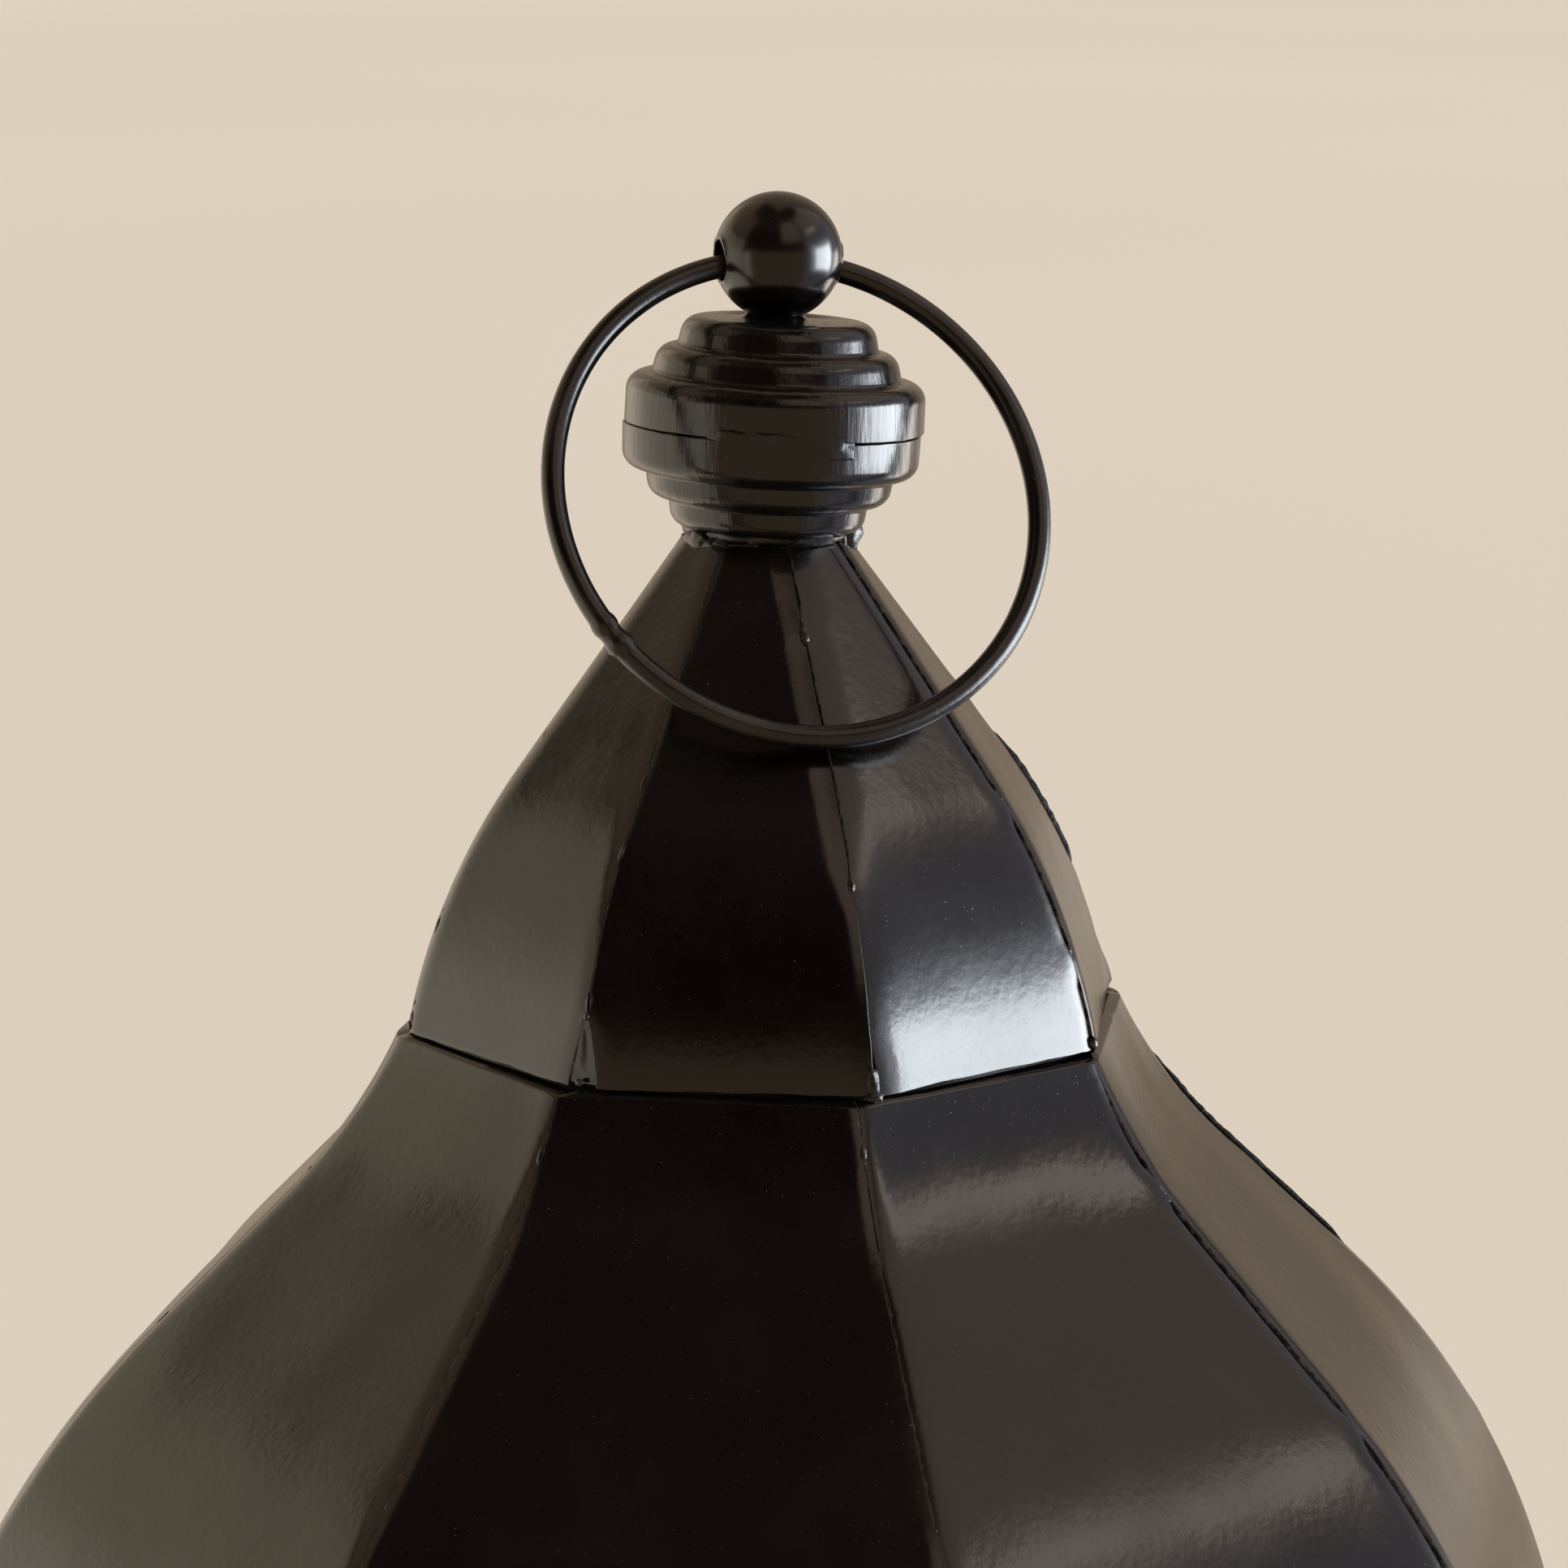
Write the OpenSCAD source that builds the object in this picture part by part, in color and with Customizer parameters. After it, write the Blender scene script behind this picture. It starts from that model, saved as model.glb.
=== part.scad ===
// Octagonal candle lantern of painted sheet steel.
// Two-tier roof of eight petals a tier, stepped cap, ball finial and carry ring,
// glazed body with one hinged door. Millimetres, Z up, front toward -Y, rests on Z = 0.

/* [Roof] */
// tangent angle from vertical where the roof petals start under the crown
roof_top_angle = 23.87; // [15:0.01:35]
// outer apothem of the roof at its top edge
roof_top_a = 55.24; // [50:0.01:60]
// height of the roof's top edge
roof_top_z = 469.3; // [440:0.1:500]
// radius of the hollow upper sweep
roof_hollow_r = 85.1; // [50:0.1:200]
// steepest-out angle of the roof, where the hollow turns to the swell
roof_mid_angle = 44.2; // [35:0.1:55]
// straight length between hollow and swell
roof_straight = 28.9; // [0:0.1:50]
// radius of the swelling lower sweep
roof_swell_r = 141.1; // [80:0.1:250]
// height of the eave plate's upper face
eave_z = 343.2; // [320:0.1:360]

/* [Crown] */
// outer apothem of the crown at its top
crown_top_a = 12.76; // [8:0.01:20]
// height of the crown's top edge
crown_top_z = 546.2; // [530:0.1:560]
// slope of the crown's straight part, from vertical
crown_angle = 34.8; // [25:0.1:45]
// length of the straight part
crown_straight = 43.16; // [20:0.01:60]
// radius of the belly below it
crown_belly_r = 102.6; // [60:0.1:200]
// angle at the lip
crown_lip_angle = 10; // [0:0.1:20]
// turn of the crown against the roof below
crown_twist = 2.83; // [-5:0.01:5]

/* [Finial] */
// lean of cap, ball and ring toward the ring's hinge line
finial_lean = 3.04; // [0:0.01:5]
// height about which they lean
neck_z = 547; // [530:0.1:560]
// ball diameter
ball_d = 20; // [16:0.1:26]
// wire diameter of the carry ring
ring_wire_d = 3.6; // [3:0.1:5]
// centreline radius of the carry ring
ring_r = 38.8; // [30:0.1:50]
// rest tilt of the ring from hanging straight down
ring_tilt = 28; // [26:0.1:35]
// hole through the ball
ball_hole_d = 6.6; // [5:0.1:8]

/* [Body] */
// outer apothem of the corner posts
body_a = 116; // [100:1:125]
// sheet thickness of the body
body_t = 1.2; // [0.8:0.1:2]
// height of the floor plate's underside
floor_z = 46; // [30:1:60]
// height of the frieze's lower edge
frieze_z = 298; // [280:1:310]
// half width of a window opening
window_w = 33; // [25:1:35]
// glass thickness
glass_t = 2; // [1.5:0.1:3]
// inner radius of the candle dish
dish_r = 40; // [30:1:45]

/* [Hidden] */
roof_t = 0.7;
seam = 0.15;
k8 = 1 / cos(22.5);
arc_n = 7;

// roof profile break points
r1a = roof_top_a + roof_hollow_r * (cos(roof_top_angle) - cos(roof_mid_angle));
r1z = roof_top_z - roof_hollow_r * (sin(roof_mid_angle) - sin(roof_top_angle));
r2a = r1a + roof_straight * sin(roof_mid_angle);
r2z = r1z - roof_straight * cos(roof_mid_angle);
eave_angle = asin(sin(roof_mid_angle) - (r2z - eave_z) / roof_swell_r);
// crown profile break point
c1a = crown_top_a + crown_straight * sin(crown_angle);
c1z = crown_top_z - crown_straight * cos(crown_angle);

// cap pressings: outer radii of their steps, wall, rounding of the step edges
cap_steps = [15.5, 19.3, 23.5];
cap_t = 1;
nose_r = 2.8;
// the two pressings sit a little off the neck's centre line
upper_shift = 0.8;
lower_shift = 0.45;
// ball neck and the spindle it is riveted over
neck_r = 4;
spindle_r = 2.6;
spindle_hole_r = 3.5;
// tube that roots the cap in the crown
tube_r = 11;

ring_sag = ring_r - sqrt(ring_r * ring_r - ball_d * ball_d / 4);
ball_z = 43;
hole_z = ball_z - 0.95;
ring_axis_z = ball_hole_d / -2 + hole_z + ring_sag / 2 + ring_wire_d / 2 + 0.3;

plate_z = floor_z + body_t;
foot_r = 114.5;
flank = 11;
pane_a = body_a - 2 * body_t;
panel_w = 45.5;

door_y = body_a + 0.3;
door_l = -36;
door_r = 36.6;
door_z0 = 50;
door_z1 = 295;
door_open_w = 25.5;
hinge_x = -37;
hinge_y = -119;
hinge_r = 2.5;
pin_r = 1;
latch_x = 30.8;
latch_z = 165;
stud_x = 42.8;
knob_z = 192;

// a regular octagonal prism with flats facing the axes, given by its apothem
module oct(a, z0, z1) {
    translate([0, 0, z0])
        rotate([0, 0, 22.5])
            cylinder(r = a * k8, h = z1 - z0, $fn = 8);
}

// turns a front-facing piece onto side k of the octagon
module side(k) {
    rotate([0, 0, 45 * k])
        children();
}

// one eighth of the plan, kept clear of the corner planes by the seam
module wedge(z0, z1) {
    s = seam / sin(22.5);
    translate([0, 0, z0])
        linear_extrude(height = z1 - z0)
            polygon([[0, -s], [-200 * tan(22.5), -200 - s], [200 * tan(22.5), -200 - s]]);
}

// sweeps an (apothem, height) outline sideways as a front-facing sheet
module sheet(points, width) {
    rotate([0, 0, -90])
        rotate([90, 0, 0])
            linear_extrude(height = width, center = true)
                polygon(points);
}

// steps the angle from a to b in n equal parts
function steps(a, b, n) = [for (i = [0 : n]) a + (b - a) * i / n];

// point moved inward, square to a tangent that leans th from vertical
function inset(p, th, d) = [p[0] - d * cos(th), p[1] - d * sin(th)];

function hollow(th) = [
    roof_top_a + roof_hollow_r * (cos(roof_top_angle) - cos(th)),
    roof_top_z - roof_hollow_r * (sin(th) - sin(roof_top_angle))
];

function swell(th) = [
    r2a + roof_swell_r * (cos(th) - cos(roof_mid_angle)),
    r2z - roof_swell_r * (sin(roof_mid_angle) - sin(th))
];

function roof_side(d) = concat(
    [for (th = steps(roof_top_angle, roof_mid_angle, arc_n)) inset(hollow(th), th, d)],
    [for (th = steps(roof_mid_angle, eave_angle, arc_n)) inset(swell(th), th, d)]
);

function belly(th) = [
    c1a + crown_belly_r * (cos(th) - cos(crown_angle)),
    c1z - crown_belly_r * (sin(crown_angle) - sin(th))
];

function crown_side(d) = concat(
    [inset([crown_top_a, crown_top_z], crown_angle, d)],
    [for (th = steps(crown_angle, crown_lip_angle, arc_n)) inset(belly(th), th, d)]
);

function reversed(v) = [for (i = [len(v) - 1 : -1 : 0]) v[i]];

module roof_petal(k) {
    color([0.05, 0.05, 0.05])
        side(k)
            intersection() {
                sheet(concat(roof_side(0), reversed(roof_side(roof_t))), 120);
                wedge(eave_z, 500);
            }
}

module crown_petal(k) {
    color([0.06, 0.06, 0.06])
        rotate([0, 0, crown_twist])
            side(k)
                intersection() {
                    sheet(concat(crown_side(0), reversed(crown_side(roof_t))), 60);
                    wedge(460, 560);
                }
}

// conical ring inside the joint of the two tiers
module collar() {
    color([0.2, 0.2, 0.2])
        rotate_extrude($fn = 96)
            polygon([
                [57.3, 462], [53.1, 470], [50.8, 480],
                [49.6, 480], [51.9, 470], [56.0, 462]
            ]);
}

// everything above the neck stands in this leaning frame
module finial_frame() {
    translate([0, 0, neck_z])
        rotate([0, 0, 22.5 + crown_twist])
            rotate([0, finial_lean, 0])
                children();
}

// rounded outer corner of a step
function nose(r, z, e, s) = [for (t = [90, 60, 30, 0]) [r - e + e * cos(t), z + s * (e * sin(t) - e)]];

// outline of three steps: radii r, ledge heights z, s = 1 for ledges facing up
function stepped(r, z, e, s) = concat(
    nose(r[0], z[0], e, s), [[r[0], z[1]]],
    nose(r[1], z[1], e, s), [[r[1], z[2]]],
    nose(r[2], z[2], e, s)
);

module cap_upper() {
    wall = [for (r = cap_steps) r - cap_t];
    color([0.08, 0.08, 0.08])
        finial_frame()
            translate([upper_shift, 0, 0])
                rotate_extrude($fn = 96)
                    polygon(concat(
                        [[spindle_hole_r, 33.2]],
                        stepped(cap_steps, [33.2, 28.8, 24.2], nose_r, 1),
                        [[cap_steps[2], 16.5], [wall[2], 16.5]],
                        reversed(stepped(wall, [32.2, 27.8, 23.2], nose_r - cap_t, 1)),
                        [[spindle_hole_r, 32.2]]
                    ));
}

module cap_lower() {
    wall = [for (r = cap_steps) r - cap_t];
    color([0.08, 0.08, 0.08])
        finial_frame()
            translate([lower_shift, 0, 0])
                rotate_extrude($fn = 96)
                    polygon(concat(
                        [[tube_r, 0.4]],
                        stepped(cap_steps, [0.4, 4.8, 9.2], nose_r, -1),
                        [[cap_steps[2], 16.4], [wall[2], 16.4]],
                        reversed(stepped(wall, [1.4, 5.8, 10.2], nose_r - cap_t, -1)),
                        [[tube_r - cap_t, 1.4], [tube_r - cap_t, -6], [tube_r, -6]]
                    ));
}

module finial_ball() {
    color([0.05, 0.05, 0.05])
        finial_frame()
            difference() {
                union() {
                    translate([0, 0, ball_z])
                        sphere(d = ball_d, $fn = 96);
                    translate([0, 0, 33.2])
                        cylinder(r = neck_r, h = 2.4, $fn = 48);
                    translate([0, 0, 30.6])
                        cylinder(r = spindle_r, h = 4, $fn = 48);
                }
                translate([-15, 0, hole_z])
                    rotate([0, 90, 0])
                        cylinder(d = ball_hole_d, h = 30, $fn = 48);
            }
}

module carry_ring() {
    color([0.05, 0.05, 0.05])
        finial_frame()
            translate([0, 0, ring_axis_z])
                rotate([-(90 + ring_tilt), 0, 0])
                    translate([0, ring_r - ring_sag / 2, 0])
                        rotate_extrude($fn = 96)
                            translate([ring_r, 0])
                                circle(d = ring_wire_d, $fn = 32);
}

// octagonal block whose every side follows one (apothem, height) outline
module oct_block(points) {
    outline = concat(points, reversed([for (p = points) [-p[0], p[1]]]));
    intersection() {
        side(0) sheet(outline, 300);
        side(1) sheet(outline, 300);
        side(2) sheet(outline, 300);
        side(3) sheet(outline, 300);
    }
}

// pressed octagonal base, open below, with a flange at foot and top
module plinth() {
    color([0.07, 0.07, 0.07])
        difference() {
            oct_block([[127, 16], [127, 30], [119.5, 38], [119.5, floor_z]]);
            oct_block([
                [125.8, 16 + body_t], [125.8, 29.5],
                [118.3, 37.5], [118.3, floor_z - body_t]
            ]);
            oct(106, 15, 18);
            oct(100, 44, floor_z + 1);
            for (q = [0 : 3])
                rotate([0, 0, 45 + 90 * q])
                    translate([foot_r, 0, 15])
                        cylinder(r = 3.3, h = 3, $fn = 32);
        }
}

// turned bun foot, its stud riveted over the plinth's lower flange
module foot(q) {
    color([0.06, 0.06, 0.06])
        rotate([0, 0, 45 + 90 * q])
            translate([foot_r, 0, 0])
                rotate_extrude($fn = 64)
                    polygon(concat(
                        [[0, 0], [8.5, 0]],
                        [for (t = steps(-60, 55, 9)) [5 + 7 * cos(t), 6.5 + 7 * sin(t)]],
                        [[7.5, 13.4], [7.5, 16], [3, 16], [3, 17.2]],
                        [for (t = steps(0, 75, 4)) [5 * cos(t), 17.2 + 1.8 * sin(t)]],
                        [[0, 19]]
                    ));
}

module floor_plate() {
    color([0.07, 0.07, 0.07])
        difference() {
            oct(117.5, floor_z, plate_z);
            for (k = [0 : 7])
                rotate([0, 0, 45 * k])
                    translate([0, -78, floor_z - 1])
                        cylinder(r = 6, h = 4, $fn = 32);
        }
}

// corner post: two flanks folded to the octagon's corner
module post(k) {
    c = body_a * tan(22.5);
    f = flank;
    d = body_t;
    h = sin(45);
    color([0.05, 0.05, 0.05])
        side(k)
            translate([0, 0, plate_z])
                linear_extrude(height = frieze_z - plate_z)
                    polygon([
                        [c, -body_a],
                        [c + f * h, -body_a + f * h],
                        [c + f * h - d * h, -body_a + f * h + d * h],
                        [c - d * tan(22.5), -body_a + d],
                        [c - f, -body_a + d],
                        [c - f, -body_a]
                    ]);
}

// pointed arch outline standing on z0, springing at zs
module arch(w, z0, zs) {
    c = 0.35 * w;
    top = acos(c / (w + c));
    rotate([90, 0, 0])
        linear_extrude(height = 200)
            polygon(concat(
                [[-w, z0], [w, z0]],
                [for (t = steps(0, top, 9)) [-c + (w + c) * cos(t), zs + (w + c) * sin(t)]],
                [for (t = steps(top, 0, 9)) if (t < top) [c - (w + c) * cos(t), zs + (w + c) * sin(t)]]
            ));
}

// lug bent over the back of a pane; x is the pane's edge, s its side
module lug(x, s, a, z) {
    y0 = -a;
    x0 = s > 0 ? x + 0.3 : -x - 1.1;
    x1 = s > 0 ? x - 3 : -x - 1.1;
    translate([x0, y0 - 0.2, z])
        cube([0.8, glass_t + 1.2, 8]);
    translate([x1, y0 + glass_t + 0.2, z])
        cube([4.1, 0.8, 8]);
}

module window(k) {
    color([0.05, 0.05, 0.05])
        side(k)
            difference() {
                union() {
                    translate([-panel_w, -pane_a - body_t, plate_z + 0.8])
                        cube([2 * panel_w, body_t, frieze_z - plate_z - 1.3]);
                    for (z = [75, 255])
                        for (s = [-1, 1])
                            lug(40.5, s, pane_a, z);
                }
                arch(window_w, 62, 228);
            }
}

module glass(k) {
    color([0.8, 0.9, 0.9, 0.35])
        side(k)
            translate([-40.5, -pane_a, 53])
                cube([81, glass_t, 238]);
}

// plain frame behind the door, which it closes against
module door_surround() {
    color([0.06, 0.06, 0.06])
        difference() {
            translate([-panel_w, -pane_a - body_t, plate_z + 0.8])
                cube([2 * panel_w, body_t, frieze_z - plate_z - 1.3]);
            translate([-33, -pane_a - 3, 56])
                cube([66, 6, 233]);
        }
}

module door_frame() {
    y1 = door_y - body_t;
    color([0.05, 0.05, 0.05])
        difference() {
            union() {
                difference() {
                    translate([door_l, -door_y, door_z0])
                        cube([door_r - door_l, body_t, door_z1 - door_z0]);
                    arch(door_open_w, 66, 232);
                }
                for (z = [80, 255])
                    for (s = [-1, 1])
                        lug(29.6, s, y1, z);
                for (z = [95, 250])
                    hinge_leaf(z);
            }
            for (z = [95, 250])
                translate([hinge_x, hinge_y, z - 20])
                    cylinder(r = pin_r + 0.35, h = 40, $fn = 32);
            for (z = [95, 250])
                for (d = [-1, 1])
                    translate([hinge_x, hinge_y, z + d * 9 - 5.2])
                        cylinder(r = hinge_r + 0.4, h = 10.4, $fn = 48);
            translate([latch_x, -door_y - 1, knob_z])
                rotate([-90, 0, 0])
                    cylinder(r = 2.1, h = 4, $fn = 32);
            translate([latch_x, -door_y - 1, latch_z])
                rotate([-90, 0, 0])
                    cylinder(r = 1.3, h = 4, $fn = 32);
        }
}

// the door's half of a hinge: leaf on the stile and middle knuckle
module hinge_leaf(z) {
    translate([hinge_x + 1.2, -door_y - 1.2, z - 13])
        cube([9, 1.3, 26]);
    translate([hinge_x, -door_y - 1.2, z - 3.6])
        cube([3, 1.3, 7.2]);
    translate([hinge_x, hinge_y, z - 3.6])
        cylinder(r = hinge_r, h = 7.2, $fn = 48);
}

// the post's half of a hinge: leaf, two knuckles and the pin
module hinge(z) {
    color([0.06, 0.06, 0.06])
        union() {
            difference() {
                translate([hinge_x - 10, -body_a - 1.2, z - 13])
                    cube([10, 1.2, 26]);
                translate([hinge_x, hinge_y, z - 4])
                    cylinder(r = hinge_r + 0.4, h = 8, $fn = 48);
            }
            translate([hinge_x, hinge_y, z - 13])
                cylinder(r = hinge_r, h = 9, $fn = 48);
            translate([hinge_x, hinge_y, z + 4])
                cylinder(r = hinge_r, h = 9, $fn = 48);
            translate([hinge_x, hinge_y, z - 13])
                cylinder(r = pin_r, h = 27, $fn = 32);
            translate([hinge_x, hinge_y, z + 13])
                cylinder(r1 = 2, r2 = 1.2, h = 1.6, $fn = 32);
        }
}

module door_glass() {
    color([0.8, 0.9, 0.9, 0.35])
        translate([-29.6, -door_y + body_t, 58])
            cube([59.2, glass_t, 228]);
}

// small turned knob, its spindle riveted flush inside the stile
module door_knob() {
    color([0.06, 0.06, 0.06])
        translate([latch_x, -door_y, knob_z])
            rotate([90, 0, 0])
                rotate_extrude($fn = 64)
                    polygon(concat(
                        [[0, -1.2], [2, -1.2], [2, 0], [4.6, 0], [4.6, 0.8], [3.6, 1.4], [2.2, 1.8], [2, 4]],
                        [for (t = steps(-65, 85, 12)) [5.4 * cos(t), 9 + 5.4 * sin(t)]],
                        [[0, 14.4]]
                    ));
}

// headed rivet the latch hook turns on
module latch_pivot() {
    color([0.1, 0.1, 0.1])
        rivet(latch_x, latch_z, door_y, 1.2, 2.4);
}

// headed stud on the post that the hook drops over
module latch_stud() {
    color([0.1, 0.1, 0.1])
        rivet(stud_x, latch_z, body_a, 0, 2.7);
}

module rivet(x, z, a, depth, reach) {
    translate([x, -a, z])
        rotate([90, 0, 0]) {
            translate([0, 0, -depth])
                cylinder(r = 1.15, h = depth + reach + 0.5, $fn = 32);
            translate([0, 0, reach])
                cylinder(r1 = 2.6, r2 = 1.7, h = 1, $fn = 32);
        }
}

// hook hanging down from its pivot; it swings over the top onto the stud
module latch_hook() {
    n = stud_x - latch_x;
    color([0.08, 0.08, 0.08])
        translate([latch_x, -door_y - 0.5, latch_z])
            rotate([0, 90, 0])
                rotate([90, 0, 0])
                    linear_extrude(height = 1.5)
                        difference() {
                            union() {
                                circle(r = 3.1, $fn = 48);
                                translate([0, -1.5])
                                    square([n, 3]);
                                translate([n, 0])
                                    circle(r = 3.6, $fn = 48);
                            }
                            circle(r = 1.5, $fn = 32);
                            translate([n, 0])
                                circle(r = 1.7, $fn = 32);
                            polygon([[n - 1.7, 0], [n + 1.7, 0], [n + 1.7, -5], [n - 2.5, -5]]);
                        }
}

// pierced band above the windows; its top edge is folded out to carry the roof
module frieze() {
    color([0.05, 0.05, 0.05])
        difference() {
            union() {
                oct(body_a, frieze_z, eave_z);
                oct(132.6, eave_z - 6, eave_z);
            }
            oct(body_a - body_t, frieze_z - 1, eave_z + 1);
            difference() {
                oct(131.4, eave_z - 7, eave_z - body_t);
                oct(body_a, eave_z - 8, eave_z);
            }
            for (k = [0 : 7])
                side(k)
                    for (i = [-2 : 2])
                        translate([16 * i, -body_a + 5, 316])
                            rotate([90, 0, 0])
                                cylinder(r = 4.5, h = 10, $fn = 32);
        }
}

// shallow dish that keeps a pillar candle in place
module candle_dish() {
    color([0.12, 0.12, 0.12])
        translate([0, 0, plate_z])
            rotate_extrude($fn = 96)
                polygon([
                    [0, 0], [dish_r + 1, 0], [dish_r + 1, 10], [dish_r + 2.6, 12],
                    [dish_r + 1.2, 12], [dish_r, 10.4], [dish_r, 1.2], [0, 1.2]
                ]);
}

plinth();
floor_plate();
foot(0);  // foot_1
foot(1);  // foot_2
foot(2);  // foot_3
foot(3);  // foot_4
post(0);  // post_1
post(1);  // post_2
post(2);  // post_3
post(3);  // post_4
post(4);  // post_5
post(5);  // post_6
post(6);  // post_7
post(7);  // post_8
door_surround();
window(1);  // window_1
window(2);  // window_2
window(3);  // window_3
window(4);  // window_4
window(5);  // window_5
window(6);  // window_6
window(7);  // window_7
glass(1);  // glass_1
glass(2);  // glass_2
glass(3);  // glass_3
glass(4);  // glass_4
glass(5);  // glass_5
glass(6);  // glass_6
glass(7);  // glass_7
door_frame();
door_glass();
hinge(250);  // hinge_upper
hinge(95);  // hinge_lower
door_knob();
latch_pivot();
latch_hook();
latch_stud();
frieze();
roof_petal(0);  // roof_petal_1
roof_petal(1);  // roof_petal_2
roof_petal(2);  // roof_petal_3
roof_petal(3);  // roof_petal_4
roof_petal(4);  // roof_petal_5
roof_petal(5);  // roof_petal_6
roof_petal(6);  // roof_petal_7
roof_petal(7);  // roof_petal_8
crown_petal(0);  // crown_petal_1
crown_petal(1);  // crown_petal_2
crown_petal(2);  // crown_petal_3
crown_petal(3);  // crown_petal_4
crown_petal(4);  // crown_petal_5
crown_petal(5);  // crown_petal_6
crown_petal(6);  // crown_petal_7
crown_petal(7);  // crown_petal_8
collar();
cap_lower();
cap_upper();
finial_ball();
carry_ring();
candle_dish();
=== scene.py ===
"""Looks of the octagonal candle lantern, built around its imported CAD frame."""
import math
import random

import bmesh
import bpy
from mathutils import Matrix, Vector, noise


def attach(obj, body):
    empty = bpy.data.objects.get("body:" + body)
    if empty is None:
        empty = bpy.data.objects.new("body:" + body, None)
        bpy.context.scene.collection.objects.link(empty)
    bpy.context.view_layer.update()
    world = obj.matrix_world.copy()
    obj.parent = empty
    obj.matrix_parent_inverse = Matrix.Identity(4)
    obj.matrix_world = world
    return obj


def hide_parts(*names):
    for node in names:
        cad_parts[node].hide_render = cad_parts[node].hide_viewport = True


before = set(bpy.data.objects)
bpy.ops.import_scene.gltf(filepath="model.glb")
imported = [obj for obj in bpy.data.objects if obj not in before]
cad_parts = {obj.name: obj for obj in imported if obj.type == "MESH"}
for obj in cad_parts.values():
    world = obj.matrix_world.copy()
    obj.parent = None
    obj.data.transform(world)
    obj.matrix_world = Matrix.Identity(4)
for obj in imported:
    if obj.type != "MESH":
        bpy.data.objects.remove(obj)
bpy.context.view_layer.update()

# Lengths are mm until new_object() turns them into metres, and angles are degrees.
MM = 0.001
SHEET = 0.7
# Eight petals a tier: the angle from one to the next, and from a petal's middle to its seam.
PITCH = 45.0
HALF = PITCH / 2
TAN = math.tan(math.radians(HALF))

# Outline of the two tiers: apothem and height of the top, angles from vertical, lengths and radii.
ROOF_TOP = (55.24, 469.3)
ROOF_ANGLES = (23.87, 44.2, 7.28)
ROOF_HOLLOW = 85.1
ROOF_STRAIGHT = 28.9
ROOF_SWELL = 141.1
CROWN_TOP = (12.76, 546.2)
CROWN_ANGLES = (34.8, 10.0)
CROWN_STRAIGHT = 43.16
CROWN_BELLY = 102.6
CROWN_TWIST = 2.83
# Apothem of the crown's lip, and the height at which the roof's rim starts to turn in under it.
CROWN_LIP = 54.18
RIM_Z = 468.95

# Finial, in its own leaning frame whose origin is the neck.
NECK_Z = 547.0
LEAN = 3.04
BALL_R = 10.0
BALL_Z = 43.0
HOLE_R = 3.3
HOLE_Z = 42.05
WIRE_R = 1.8
RING_R = 38.8
RING_TILT = 28.0


def sin(degrees):
    return math.sin(math.radians(degrees))


def cos(degrees):
    return math.cos(math.radians(degrees))


def ease(x, low, high):
    """Smooth step from 0 at low to 1 at high."""
    t = min(max((x - low) / (high - low), 0), 1)
    return t * t * (3 - 2 * t)


def rough(x, y=0.0, z=0.0):
    """Smooth noise between -1 and 1."""
    return noise.noise(Vector((x, y, z)))


# ---------------------------------------------------------------- camera

def add_camera():
    """Camera a little to the right of the front and above the roof, in metres."""
    azimuth, pitch = 8.78, 11.45
    distance, aside, height = 0.744, 0.00314, 0.657
    ahead = Vector((-sin(azimuth), cos(azimuth), 0))
    right = Vector((cos(azimuth), sin(azimuth), 0))
    look = ahead * cos(pitch) - Vector((0, 0, sin(pitch)))
    up = right.cross(look)
    data = bpy.data.cameras.new("camera")
    data.sensor_width = 36
    data.lens = 109.8
    camera = bpy.data.objects.new("camera", data)
    place = -ahead * distance + right * aside + Vector((0, 0, height))
    camera.matrix_world = Matrix((
        (right.x, up.x, -look.x, place.x), (right.y, up.y, -look.y, place.y),
        (right.z, up.z, -look.z, place.z), (0, 0, 0, 1)))
    bpy.context.scene.collection.objects.link(camera)
    bpy.context.scene.camera = camera


# ---------------------------------------------------------------- node helper

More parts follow.
